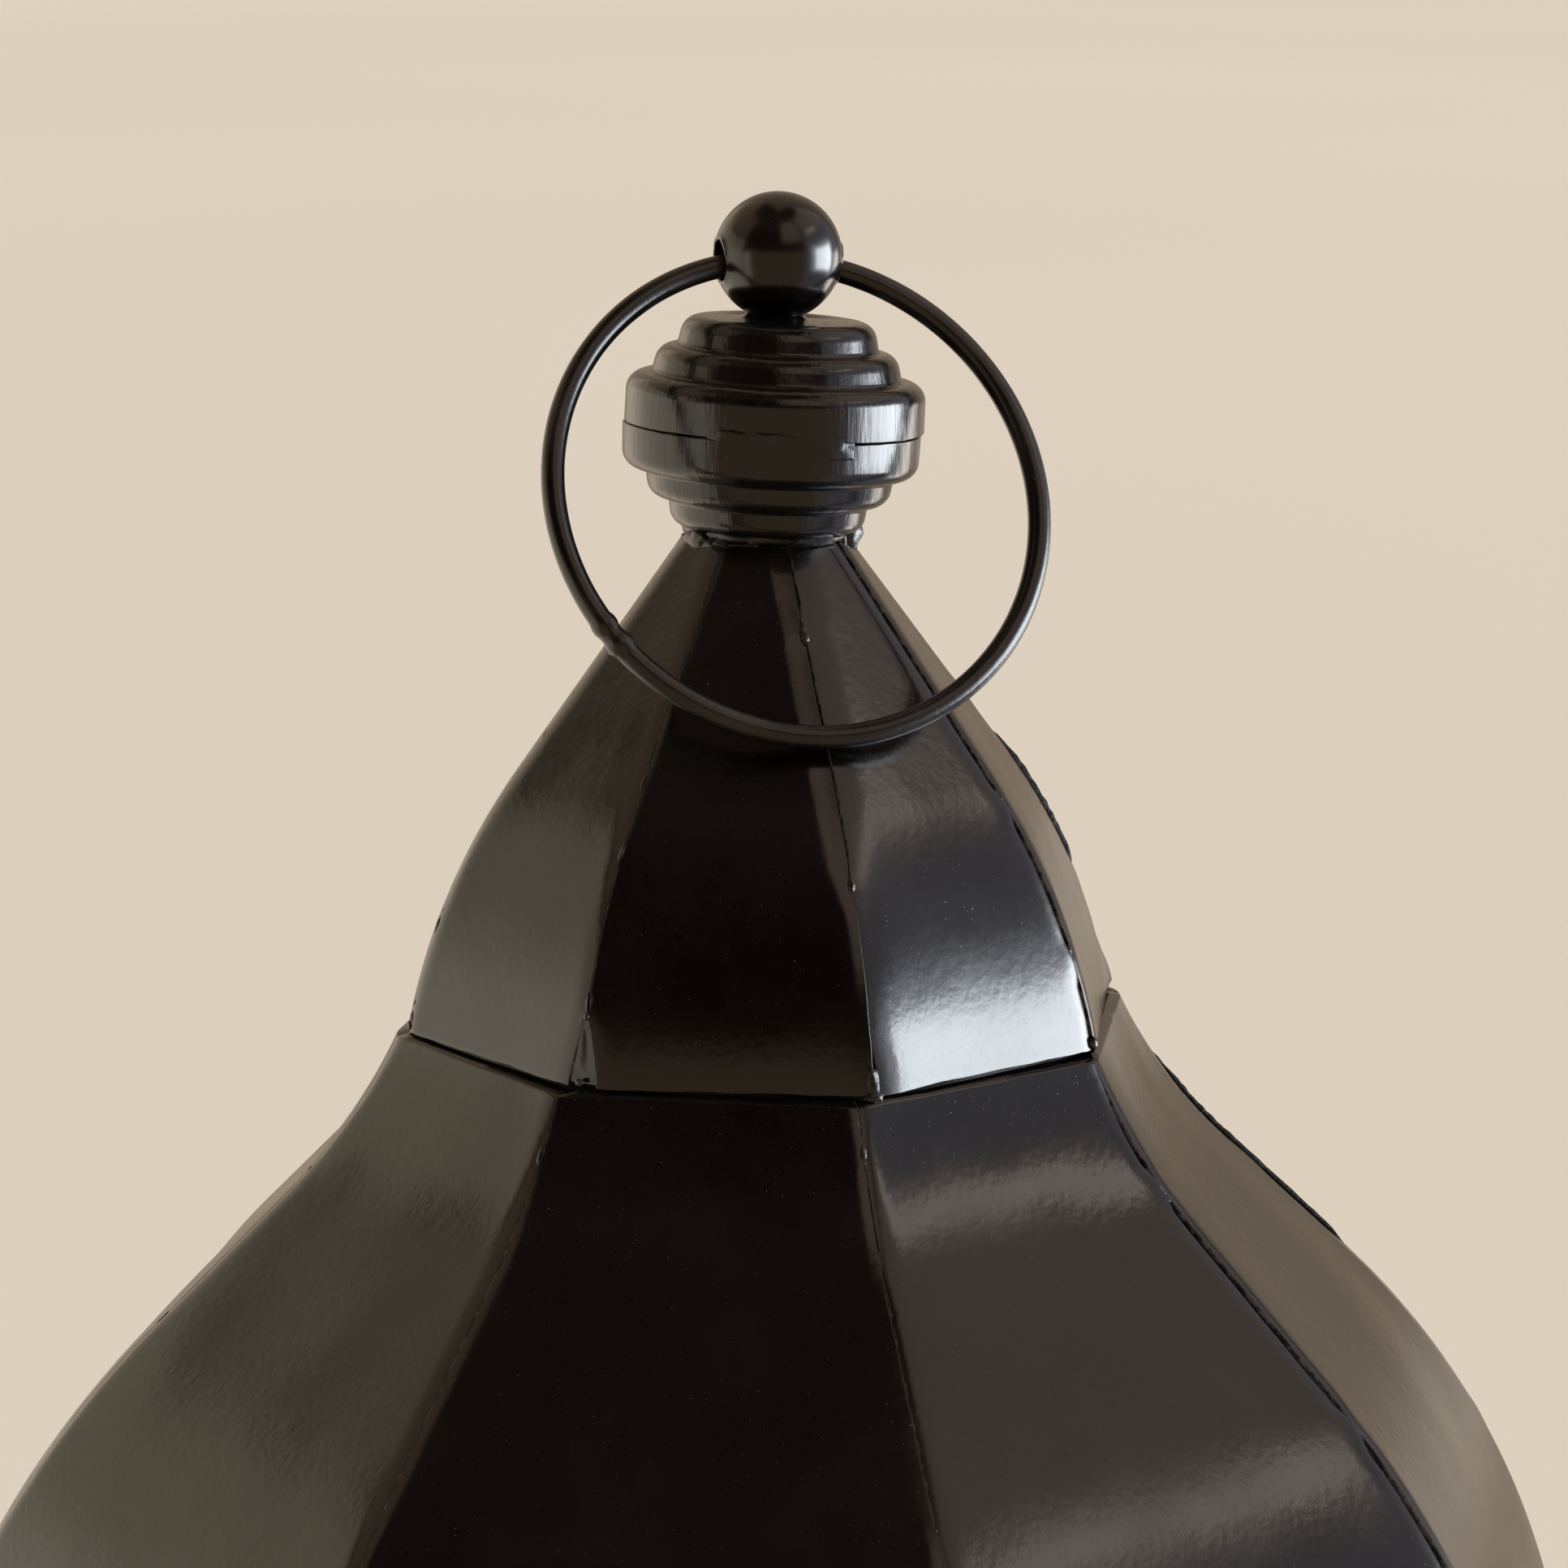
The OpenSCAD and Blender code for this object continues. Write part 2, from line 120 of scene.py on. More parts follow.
class Graph:
    """Short-hand for building a node tree."""

    def __init__(self, tree):
        self.tree = tree
        tree.nodes.clear()

    def node(self, kind, inputs=(), **settings):
        n = self.tree.nodes.new(kind)
        for key, value in settings.items():
            setattr(n, key, value)
        for key, value in dict(inputs).items():
            if isinstance(value, bpy.types.NodeSocket):
                self.tree.links.new(value, n.inputs[key])
            else:
                n.inputs[key].default_value = value
        return n

    def math(self, operation, a, b=0.0):
        return self.node("ShaderNodeMath", {0: a, 1: b}, operation=operation).outputs[0]

    def ramp(self, value, low, high, to_low=0.0, to_high=1.0):
        """Smooth step of value from low to high."""
        inputs = {0: value, 1: low, 2: high, 3: to_low, 4: to_high}
        return self.node("ShaderNodeMapRange", inputs, interpolation_type="SMOOTHSTEP").outputs[0]

    def band(self, value, low, high, soft):
        """1 from low to high, falling to 0 over soft on each side."""
        rise = self.ramp(value, low - soft, low + soft)
        fall = self.ramp(value, high - soft, high + soft, 1.0, 0.0)
        return self.math("MULTIPLY", rise, fall)

    def noise(self, vector, scale, detail=3.0, roughness=0.5, stretch=(1, 1, 1)):
        """Noise with scale cells to the unit of vector, which is the metre on an object."""
        moved = self.node("ShaderNodeMapping", {"Vector": vector, "Scale": stretch}).outputs[0]
        inputs = {"Vector": moved, "Scale": scale, "Detail": detail, "Roughness": roughness}
        return self.node("ShaderNodeTexNoise", inputs).outputs[0]

    def blend(self, factor, a, b):
        """Colour going from a to b."""
        mix = self.node("ShaderNodeMix", data_type="RGBA")
        for socket, value in zip((mix.inputs[0], mix.inputs[6], mix.inputs[7]), (factor, a, b)):
            if isinstance(value, bpy.types.NodeSocket):
                self.tree.links.new(value, socket)
            else:
                socket.default_value = value
        return mix.outputs[2]


# ---------------------------------------------------------------- light and floor

# Soft boxes of light: colour, azimuth from and to, elevation from and to, softness, in degrees.
# Azimuth 0 is the front, 90 the right and 180 the back.
SOFTBOXES = (
    ((0.46, 0.33, 0.21), -50, 64, -90, 12, 3.5),
    ((1.35, 1.28, 1.12), -58, -42, -30, 9, 4),
    ((1.02, 0.86, 0.62), -150, -58, -90, 26, 2.0),
    ((0.62, 0.62, 0.56), -138, -62, -90, 10, 6),
    ((0.06, 0.05, 0.03), -150, -58, 27, 75, 1.5),
    ((0.42, 0.31, 0.205), -150, -58, 30, 60, 1.5),
    ((0.46, 0.38, 0.28), -150, -109, 25.5, 31, 1.5),
    ((0.85, 0.64, 0.50), 18, 60, 28, 64, 6),
    ((0.55, 0.55, 0.64), 62, 145, -90, 33, 5),
    ((0.80, 0.66, 0.57), 66, 145, 33, 66, 4),
    ((2.10, 1.85, 1.62), 76, 102, 35.5, 40.9, 0.6),
    ((2.70, 2.90, 3.30), 72, 122, -20, 15, 5),
    ((4.60, 4.25, 3.80), 127, 146, -32, 0, 3),
    ((0.26, 0.25, 0.22), 154, 174, -11, -4.5, 2),
    ((0.05, 0.04, 0.03), -60, 60, 50, 90, 5),
)
# The brightest box has the uneven brightness of a curtained window.
WINDOW = ((14.6, 15.9, 16.4), 81.5, 119, -17, 11, 2.2)
AMBIENT = (0.045, 0.024, 0.018)
BACK_LIGHT = (0.42, 0.34, 0.25)
BACKDROP = (0.745, 0.675, 0.555, 1)


def add_world():
    """Soft boxes painted on the sky for the paint to mirror; the camera sees a plain backdrop."""
    world = bpy.data.worlds.new("studio")
    bpy.context.scene.world = world
    world.use_nodes = True
    g = Graph(world.node_tree)
    direction = g.node("ShaderNodeTexCoord").outputs["Generated"]
    axes = g.node("ShaderNodeSeparateXYZ", {0: direction}).outputs
    elevation = g.math("MULTIPLY", g.math("ARCSINE", axes["Z"]), 180 / math.pi)
    front = g.math("MULTIPLY", axes["Y"], -1.0)
    azimuth = g.math("MULTIPLY", g.math("ARCTAN2", axes["X"], front), 180 / math.pi)
    behind = g.ramp(g.math("ABSOLUTE", azimuth), 142, 156)
    curtain = g.ramp(g.noise(direction, 34, 3.0, 0.7), 0.36, 0.62, 0.68, 1.0)
    masks = [(BACK_LIGHT, behind)]
    for tint, a0, a1, e0, e1, soft in SOFTBOXES + (WINDOW,):
        across = g.band(azimuth, a0, a1, soft)
        masks.append((tint, g.math("MULTIPLY", across, g.band(elevation, e0, e1, soft))))
    masks[-1] = (WINDOW[0], g.math("MULTIPLY", masks[-1][1], curtain))
    total = AMBIENT
    for tint, mask in masks:
        lit = g.node("ShaderNodeVectorMath", {0: tint, "Scale": mask}, operation="SCALE")
        add = g.node("ShaderNodeVectorMath", {0: total, 1: lit.outputs[0]}, operation="ADD")
        total = add.outputs[0]
    seen = g.node("ShaderNodeLightPath").outputs["Is Camera Ray"]
    light = g.node("ShaderNodeBackground", {"Color": total})
    backdrop = g.node("ShaderNodeBackground", {"Color": BACKDROP})
    both = g.node("ShaderNodeMixShader", {0: seen, 1: light.outputs[0], 2: backdrop.outputs[0]})
    g.node("ShaderNodeOutputWorld", {0: both.outputs[0]})
    bpy.context.scene.view_settings.view_transform = "Standard"


def add_floor():
    """Pale disc, in metres, wide enough to reach the horizon."""
    segments, rings = 96, (0.5, 1.5, 5.0, 15.0, 30.0)
    bm = bmesh.new()
    turns = [360 * i / segments for i in range(segments)]
    rows = [[bm.verts.new((r * cos(t), r * sin(t), 0)) for t in turns] for r in rings]
    bm.faces.new(rows[0])
    for inner, outer in zip(rows, rows[1:]):
        for i in range(segments):
            j = (i + 1) % segments
            bm.faces.new((inner[i], outer[i], outer[j], inner[j]))
    mesh = bpy.data.meshes.new("floor")
    bm.to_mesh(mesh)
    bm.free()
    floor = bpy.data.objects.new("floor", mesh)
    bpy.context.scene.collection.objects.link(floor)
    material, g = new_material("studio_floor")
    at = g.node("ShaderNodeTexCoord").outputs["Object"]
    cloud = g.noise(at, 0.16, 1.0)
    darker, lighter = (0.80, 0.76, 0.69, 1), (0.84, 0.80, 0.735, 1)
    colour = g.blend(g.ramp(cloud, 0.3, 0.7), darker, lighter)
    shader(g, {"Base Color": colour, "Roughness": 0.8, "Specular IOR Level": 0.1})
    mesh.materials.append(material)
    # The paint mirrors the soft light below the horizon instead of the floor.
    floor.visible_glossy = False


def add_overhead():
    """Soft overhead light for the floor and its contact shadow; the paint doesn't mirror it."""
    data = bpy.data.lights.new("overhead", "SUN")
    data.energy = 1.25
    data.angle = math.radians(70)
    data.color = (0.97, 1.0, 0.96)
    lamp = bpy.data.objects.new("overhead", data)
    lamp.rotation_euler = (math.radians(14), math.radians(-10), 0)
    lamp.visible_glossy = False
    bpy.context.scene.collection.objects.link(lamp)


# ---------------------------------------------------------------- materials

def new_material(name):
    material = bpy.data.materials.new(name)
    material.use_nodes = True
    return material, Graph(material.node_tree)


def shader(g, inputs):
    """Ends a material's graph in a Principled shader with these inputs."""
    bsdf = g.node("ShaderNodeBsdfPrincipled", inputs)
    g.node("ShaderNodeOutputMaterial", {0: bsdf.outputs[0]})


def painted_steel(name, dark, light, gloss, peel, peel_size, streaks=0.0):
    """Sprayed enamel: colour mottled from dark to light, orange peel of strength peel and
    peel_size mm, specks of dust, and upright drag marks where streaks is given."""
    material, g = new_material(name)
    at = g.node("ShaderNodeTexCoord").outputs["Object"]
    mottle = g.noise(at, 38, 5.0, 0.6)
    fine = g.noise(at, 900 / peel_size, 2.0, 0.5)
    broad = g.noise(at, 210 / peel_size, 2.0, 0.5)
    grit = g.noise(at, 2600, 1.0, 0.5)
    speck = g.ramp(grit, 0.74, 0.80)
    colour = g.blend(g.ramp(mottle, 0.35, 0.68), dark + (1,), light + (1,))
    dust = (0.16, 0.13, 0.10, 1)
    colour = g.blend(g.math("MULTIPLY", speck, 0.25), colour, dust)
    roughness = g.ramp(mottle, 0.25, 0.75, gloss - 0.035, gloss + 0.045)
    height = g.math("ADD", g.math("MULTIPLY", fine, 0.6), g.math("MULTIPLY", broad, 0.9))
    height = g.math("ADD", height, g.math("MULTIPLY", speck, 0.8))
    if streaks:
        drag = g.noise(at, 60, 3.0, 0.6, (14, 14, 1.2))
        height = g.math("ADD", height, g.math("MULTIPLY", drag, streaks))
        roughness = g.math("ADD", roughness, g.ramp(drag, 0.45, 0.75, 0.0, 0.10))
    bump = g.node("ShaderNodeBump", {"Height": height, "Strength": peel * 4, "Distance": 0.0002})
    shader(g, {"Base Color": colour, "Roughness": roughness, "Normal": bump.outputs[0],
               "IOR": 1.5})
    return material


def solder(name):
    """Bare lumpy weld metal under thin paint."""
    material, g = new_material(name)
    at = g.node("ShaderNodeTexCoord").outputs["Object"]
    lumps = g.noise(at, 900, 4.0, 0.6)
    bare = g.ramp(g.noise(at, 420, 3.0, 0.6), 0.56, 0.72)
    colour = g.blend(bare, (0.004, 0.0034, 0.003, 1), (0.06, 0.05, 0.042, 1))
    bump = g.node("ShaderNodeBump", {"Height": lumps, "Strength": 0.5, "Distance": 0.0002})
    shader(g, {"Base Color": colour, "Roughness": g.ramp(lumps, 0.3, 0.7, 0.18, 0.42),
               "Metallic": g.math("MULTIPLY", bare, 0.35), "Normal": bump.outputs[0]})
    return material


def burnt(name):
    """Burnt flux and scale along a weld: matt, black and pitted."""
    material, g = new_material(name)
    at = g.node("ShaderNodeTexCoord").outputs["Object"]
    pits = g.noise(at, 1300, 4.0, 0.65)
    bare = g.ramp(g.noise(at, 800, 3.0, 0.6), 0.62, 0.74)
    colour = g.blend(bare, (0.002, 0.0016, 0.0014, 1), (0.05, 0.046, 0.04, 1))
    bump = g.node("ShaderNodeBump", {"Height": pits, "Strength": 0.7, "Distance": 0.0003})
    shader(g, {"Base Color": colour, "Roughness": g.ramp(pits, 0.3, 0.7, 0.45, 0.75),
               "Normal": bump.outputs[0], "Specular IOR Level": 0.15})
    return material


def cut_edge(name):
    """Sheared sheet edge: paint worn thin over grey steel."""
    material, g = new_material(name)
    at = g.node("ShaderNodeTexCoord").outputs["Object"]
    worn = g.ramp(g.noise(at, 480, 4.0, 0.65), 0.46, 0.62)
    grain = g.noise(at, 1800, 2.0, 0.5)
    colour = g.blend(worn, (0.018, 0.016, 0.014, 1), (0.20, 0.18, 0.155, 1))
    bump = g.node("ShaderNodeBump", {"Height": grain, "Strength": 0.35, "Distance": 0.0001})
    shader(g, {"Base Color": colour, "Roughness": g.ramp(grain, 0.3, 0.7, 0.22, 0.45),
               "Metallic": g.math("MULTIPLY", worn, 0.5), "Normal": bump.outputs[0]})
    return material


def window_glass(name):
    """Thin float glass, a little uneven and dusty."""
    material, g = new_material(name)
    at = g.node("ShaderNodeTexCoord").outputs["Object"]
    wave = g.noise(at, 22, 2.0, 0.4)
    dust = g.ramp(g.noise(at, 160, 5.0, 0.7), 0.52, 0.80)
    tint = g.blend(dust, (0.93, 0.97, 0.95, 1), (0.86, 0.88, 0.85, 1))
    bump = g.node("ShaderNodeBump", {"Height": wave, "Strength": 0.12, "Distance": 0.0004})
    shader(g, {"Base Color": tint, "Roughness": g.ramp(dust, 0.0, 1.0, 0.012, 0.11),
               "Transmission Weight": 1.0, "IOR": 1.46, "Normal": bump.outputs[0]})
    return material


# ---------------------------------------------------------------- mesh helpers

def new_object(name, vertices, faces, materials, tags=None):
    """A smooth mesh object from points in mm; tags gives each face its material."""
    mesh = bpy.data.meshes.new(name)
    mesh.from_pydata([Vector(v) * MM for v in vertices], [], faces)
    for material in materials:
        mesh.materials.append(material)
    if tags:
        mesh.polygons.foreach_set("material_index", tags)
    bm = bmesh.new()
    bm.from_mesh(mesh)
    bmesh.ops.recalc_face_normals(bm, faces=bm.faces)
    bm.to_mesh(mesh)
    bm.free()
    mesh.polygons.foreach_set("use_smooth", [True] * len(mesh.polygons))
    obj = bpy.data.objects.new(name, mesh)
    bpy.context.scene.collection.objects.link(obj)
    return obj


def place(obj, body, slot, *nodes):
    """Joins a piece to its body, and lets it stand for CAD nodes; slot is not used."""
    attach(obj, body)
    if nodes:
        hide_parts(*nodes)
    return obj


def bevel(obj, width, angle):
    """Rounds the edges sharper than angle."""
    modifier = obj.modifiers.new("edges", "BEVEL")
    modifier.width = width * MM
    modifier.segments = 2
    modifier.limit_method = "ANGLE"
    modifier.angle_limit = math.radians(angle)
    modifier.harden_normals = False


def slab(rows, cols, front, back):
    """Faces of a thin slab whose two skins are grids, and a tag that is 1 on its cut edges."""
    n = rows * cols
    faces = []
    for i in range(rows - 1):
        for j in range(cols - 1):
            a = i * cols + j
            faces.append((a, a + 1, a + cols + 1, a + cols))
            faces.append((n + a, n + a + cols, n + a + cols + 1, n + a + 1))
    skins = len(faces)
    rim = list(range(cols))
    rim += [i * cols + cols - 1 for i in range(1, rows)]
    rim += [(rows - 1) * cols + j for j in range(cols - 2, -1, -1)]
    rim += [i * cols for i in range(rows - 2, 0, -1)]
    for a, b in zip(rim, rim[1:] + rim[:1]):
        faces.append((a, n + a, n + b, b))
    tags = [0] * skins + [1] * (len(faces) - skins)
    return list(front) + list(back), faces, tags


def spun(outline, segments, shape=None):
    """Vertices and faces of a closed (r, z) outline turned about Z; shape moves each point."""
    vertices, faces = [], []
    n = len(outline)
    for i in range(segments):
        turn = 360 * i / segments
        for r, z in outline:
            if shape:
                r, z = shape(r, z, turn)
            vertices.append((r * cos(turn), r * sin(turn), z))
    for i in range(segments):
        k = (i + 1) % segments
        for j in range(n):
            m = (j + 1) % n
            faces.append((i * n + j, k * n + j, k * n + m, i * n + m))
    return vertices, faces


def swept(path, radii, sides, closed=False):
    """Tube round a list of points; radii gives its radius at each."""
    vertices, faces = [], []
    n = len(path)
    for i, p in enumerate(path):
        ahead = path[(i + 1) % n] if closed or i < n - 1 else p
        back = path[i - 1] if closed or i else p
        along = (ahead - back).normalized()
        side = along.cross(Vector((0.31, 0.17, 0.93))).normalized()
        other = along.cross(side)
        for s in range(sides):
            t = 360 * s / sides
            vertices.append(p + (side * cos(t) + other * sin(t)) * radii[i])
    for i in range(n if closed else n - 1):
        k = (i + 1) % n
        for s in range(sides):
            m = (s + 1) % sides
            faces.append((i * sides + s, i * sides + m, k * sides + m, k * sides + s))
    if not closed:
        faces.append(tuple(range(sides)))
        faces.append(tuple((n - 1) * sides + s for s in range(sides)))
    return vertices, faces


def merged(parts):
    """One vertex and face list from several."""
    vertices, faces = [], []
    for points, polygons in parts:
        start = len(vertices)
        vertices += [Vector(p) for p in points]
        faces += [tuple(start + i for i in f) for f in polygons]
    return vertices, faces


def blob(centre, along, out, size, seed):
    """A lump of weld: size is its length, breadth and height, lying along a seam."""
    along, out = Vector(along).normalized(), Vector(out).normalized()
    side = along.cross(out).normalized()
    bm = bmesh.new()
    bmesh.ops.create_icosphere(bm, subdivisions=3, radius=1)
    points = []
    for v in bm.verts:
        c = v.co
        swell = 1 + 0.30 * rough(c.x * 1.4 + seed, c.y * 1.4, c.z * 1.4)
        swell += 0.15 * rough(c.x * 4 + seed, c.y * 4, c.z * 4)
        p = along * (c.x * size[0]) + side * (c.y * size[1]) + out * (c.z * size[2])
        points.append(Vector(centre) + p * swell)
    faces = [tuple(v.index for v in f.verts) for f in bm.faces]
    bm.free()
    return points, faces


# ---------------------------------------------------------------- roof petals

def sweep(start, radius, a0, a1, n, sign):
    """Points (apothem, height, angle) along an arc that leaves start at angle a0."""
    points = []
    for i in range(1, n + 1):
        t = a0 + (a1 - a0) * i / n
        points.append((start[0] + sign * radius * (cos(a0) - cos(t)),
                       start[1] - sign * radius * (sin(t) - sin(a0)), t))
    return points


def straight(start, length, angle, n):
    """Points along a straight run that leaves start at an angle."""
    steps = [length * i / n for i in range(1, n + 1)]
    return [(start[0] + s * sin(angle), start[1] - s * cos(angle), angle) for s in steps]


def roof_profile():
    a0, a1, a2 = ROOF_ANGLES
    points = [ROOF_TOP + (a0,)]
    # Two short steps keep the rim's turn under the crown crisp.
    for short in (0.25, 0.5):
        points += sweep(points[-1], ROOF_HOLLOW, a0 + short - 0.25, a0 + short, 1, 1)
    points += sweep(points[-1], ROOF_HOLLOW, a0 + 0.5, a1, 44, 1)
    points += straight(points[-1], ROOF_STRAIGHT, a1, 20)
    points += sweep(points[-1], ROOF_SWELL, a1, a2, 60, -1)
    return points


def crown_profile():
    a0, a1 = CROWN_ANGLES
    points = [CROWN_TOP + (a0,)]
    points += straight(points[-1], CROWN_STRAIGHT, a0, 36)
    points += sweep(points[-1], CROWN_BELLY, a0, a1, 40, -1)
    return points


# Columns of a petal's grid: their distances from each margin, and how many lie between.
MARGIN = (0.0, 0.18, 0.45, 0.85, 1.4, 2.1, 3.0, 4.2)
INNER = 12


def across(half_left, half_right):
    """Positions across a petal, close together near its margins."""
    width = half_left + half_right
    shrink = min(1.0, width / 20)
    left = [-half_left + m * shrink for m in MARGIN]
    right = [half_right - m * shrink for m in reversed(MARGIN)]
    a, b = left[-1], right[0]
    return left + [a + (b - a) * i / (INNER + 1) for i in range(1, INNER + 1)] + right


def inside_crown(point, z):
    """Draws the roof's top rim in under the crown's lip."""
    pull = ease(z, RIM_Z, ROOF_TOP[1])
    if not pull:
        return point
    bearing = math.degrees(math.atan2(point.x, -point.y)) - CROWN_TWIST
    off = (bearing + HALF) % PITCH - HALF
    lip = CROWN_LIP / cos(off) - 0.6
    flat = Vector((point.x, point.y, 0))
    target = flat.normalized() * lip
    return point + (target - flat) * pull + Vector((0, 0, 0.2 * pull))


def petal(name, profile, turn, gaps, seed, dents, roll, ragged, tucked):
    """One petal of a tier, facing turn degrees from the front toward the right.
    gaps gives the clear distance to the left and right seam planes at a height, and roll the
    depth, width and power with which the left and right margins turn in. dents is the depth of
    its dents, and ragged that of its upper and lower edges. A tucked petal goes under the crown."""
    out = Vector((sin(turn), -cos(turn), 0))
    side = Vector((cos(turn), sin(turn), 0))
    up = Vector((0, 0, 1))
    low, high = profile[-1][1], profile[0][1]
    front, back = [], []
    for a, z, angle in profile:
        normal = out * cos(angle) + up * sin(angle)
        down = out * sin(angle) - up * cos(angle)
        # The margins waver by about a tenth of a millimetre.
        shake = 0.09 * rough(z * 0.23, seed, 0.5) + 0.05 * rough(z * 0.9, seed, 4.5)
        left = a * TAN - gaps[0](z) - max(shake, -0.08)
        right = a * TAN - gaps[1](z) - max(-shake, -0.08)
        # The inner skin is narrower, because the seam planes close in on it.
        narrow = SHEET * cos(angle) * TAN
        for w in across(left, right):
            edge = min(w + left, right - w)
            depth, reach, power = roll(z)[0 if w < 0 else 1]
            bent = max(0.0, 1 - edge / reach) ** power
            # Dents die away toward the margins, which turn in.
            flat = ease(edge, 0.0, 9.0)
            d = dents * flat * rough(w * 0.035 + seed, z * 0.021, seed * 0.37)
            d += 0.28 * dents * flat * rough(w * 0.09, z * 0.075 + seed, 7.7)
            d -= depth * bent
            # The upper and lower edges are cut unevenly, the lower one most.
            wave = ragged * (rough(w * 0.16, seed * 1.7, 2.2) + 0.45 * rough(w * 0.7, seed, 9.1))
            slip = wave * (ease(z, low + 7, low) - 0.5 * ease(z, high - 5, high))
            slip -= ragged * 0.5
            point = out * a + side * w + up * z + normal * d + down * slip
            squeeze = w * (1 - narrow / (a * TAN))
            behind = out * a + side * squeeze + up * z + normal * (d - SHEET) + down * slip
            if tucked:
                point = inside_crown(point, z)
                behind = inside_crown(behind, z) - out * (SHEET * ease(z, RIM_Z, ROOF_TOP[1]))
            front.append(point)
            back.append(behind)
    cols = 2 * len(MARGIN) + INNER
    vertices, faces, tags = slab(len(profile), cols, front, back)
    obj = new_object(name, vertices, faces, (enamel, raw_edge), tags)
    bevel(obj, 0.16, 50)
    return obj


# How a margin turns in: depth, the width that it takes, and the power of its curve.
SOFT = (0.45, 2.8, 2)


def soft_margins(z):
    return SOFT, SOFT


def wide_left(z):
    return (0.55, 5.4, 2), SOFT


def creased_right(z):
    """The front crown petal's right margin is folded back in a flat strip, less so lower down."""
    crease = ease(z, 494, 503)
    return SOFT, (0.45 + 0.55 * crease, 2.8 + 0.6 * crease, 2 - 0.85 * crease)


def flared(z):
    """Margin that stands out at the lip, where the crown's corner is knocked outward."""
    lip = ease(z, 481, 469)
    return 0.45 - 1.15 * lip, 2.8 + 10 * lip, 2


def flared_right(z):
    return SOFT, flared(z)


def flared_left(z):
    return flared(z), SOFT


ROLLS = {"crown_petal_1": creased_right, "crown_petal_2": wide_left,
         "crown_petal_3": flared_right, "crown_petal_4": flared_left}


def seam_gap(opening, tacks, closed=0.06):
    """Clear distance to a seam plane by height: opening(z), drawn shut at each tack."""
    def gap(z):
        near = min((abs(z - t) for t in tacks), default=99)
        return closed + (opening(z) - closed) * ease(near, 0.7, 3.6)
    return gap


def even(width):
    return lambda z: width


def taper(width, z_open, z_end):
    """An opening that grows from a hairline at z_open to width at z_end."""
    return lambda z: 0.12 + (width - 0.12) * ease(z, z_open, z_end)


def wider(first, second):
    """The wider of two openings at each height."""
    return lambda z: max(first(z), second(z))


# Seams by number: seam n lies left of petal n, petal 1 being the front one. Each has its opening
# to the left and to the right, and the heights of its tacks.
CROWN_SEAMS = {
    1: (wider(taper(2.7, 484, 469), taper(0.26, 496, 512)), wider(taper(2.9, 484, 469), even(0.20)),
        (538.4, 514, 504.5)),
    2: (taper(0.34, 492, 508), wider(taper(0.50, 492, 508), taper(1.2, 481, 471)), (534.8, 500.5)),
    3: (even(0.85), wider(even(0.80), taper(1.3, 482, 474)), (507, 483.2)),
    4: (even(0.90), even(0.22), (520, 489, 472)),
    5: (even(0.15), even(0.28), (531, 498, 474)),
    6: (even(0.2), even(0.15), (512, 480)),
    7: (even(0.15), taper(0.7, 500, 472), (526, 496, 471)),
    8: (even(0.18), even(0.15), (517, 487, 472)),
}
ROOF_SEAMS = {
    1: (even(0.14), even(0.22), (461, 402, 356)),
    2: (even(0.20), even(0.24), (463, 418, 371)),
    3: (taper(0.95, 470, 455), taper(0.85, 470, 455), (450.9, 418.3, 362)),
    4: (even(0.75), even(0.22), (440, 393, 350)),
    5: (even(0.18), even(0.3), (455, 410, 365)),
    6: (even(0.15), even(0.2), (446, 388)),
    7: (even(0.2), even(0.2), (459, 421, 358)),
    8: (even(0.18), even(0.15), (448.6, 425.3, 380)),
}


def add_tier(tier, profile, twist, seams, dents, ragged):
    for n in range(1, 9):
        after = n % 8 + 1
        left = seam_gap(seams[n][1], seams[n][2])
        right = seam_gap(seams[after][0], seams[after][2])
        node = f"{tier}_petal_{n}"
        turn = PITCH * (n - 1) + twist
        roll = ROLLS.get(node, soft_margins)
        seed = n * 3.7 + twist
        obj = petal("looks_" + node, profile, turn, (left, right), seed, dents, roll, ragged,
                    tier == "roof")
        place(obj, "lantern", "roof_paint", node)


def seam_bearing(n, twist):
    return PITCH * (n - 1) - HALF + twist


def seam_place(profile, n, twist, z):
    """Point, direction down and direction out of seam n at height z."""
    best = min(profile, key=lambda p: abs(p[1] - z))
    turn = seam_bearing(n, twist)
    out, up = Vector((sin(turn), -cos(turn), 0)), Vector((0, 0, 1))
    lean = math.degrees(math.atan(math.tan(math.radians(best[2])) / cos(HALF)))
    point = out * (best[0] / cos(HALF)) + up * best[1]
    down = out * sin(lean) - up * cos(lean)
    away = out * cos(lean) + up * sin(lean)
    return point, down, away


def add_tacks(name, profile, twist, seams, seed):
    """Small welds that hold the petals together along their seams, each with a stray bead."""
    chance = random.Random(seed)
    lumps = []
    for n, (_, _, heights) in seams.items():
        for z in heights:
            point, down, out = seam_place(profile, n, twist, z)
            length, breadth = chance.uniform(1.1, 2.4), chance.uniform(0.45, 0.75)
            size = (length, breadth, chance.uniform(0.3, 0.5))
            lumps.append(blob(point - out * 0.75, down, out, size, chance.uniform(0, 50)))
            bead = point + down * chance.uniform(-2.6, 2.6) - out * 0.72
            lumps.append(blob(bead, down, out, (0.6, 0.4, 0.32), chance.uniform(0, 50)))
    obj = new_object(name, *merged(lumps), (weld,))
    place(obj, "lantern", "roof_paint")


# ---------------------------------------------------------------- finial and ring

def finial_frame():
    """Frame of the cap, ball and ring: turned with the crown and leaning along its X axis."""
    turn = Matrix.Rotation(math.radians(HALF + CROWN_TWIST), 4, "Z")
    lean = Matrix.Rotation(math.radians(LEAN), 4, "Y")
    return Matrix.Translation((0, 0, NECK_Z)) @ turn @ lean


def moved(vertices, matrix):
    return [matrix @ Vector(v) for v in vertices]


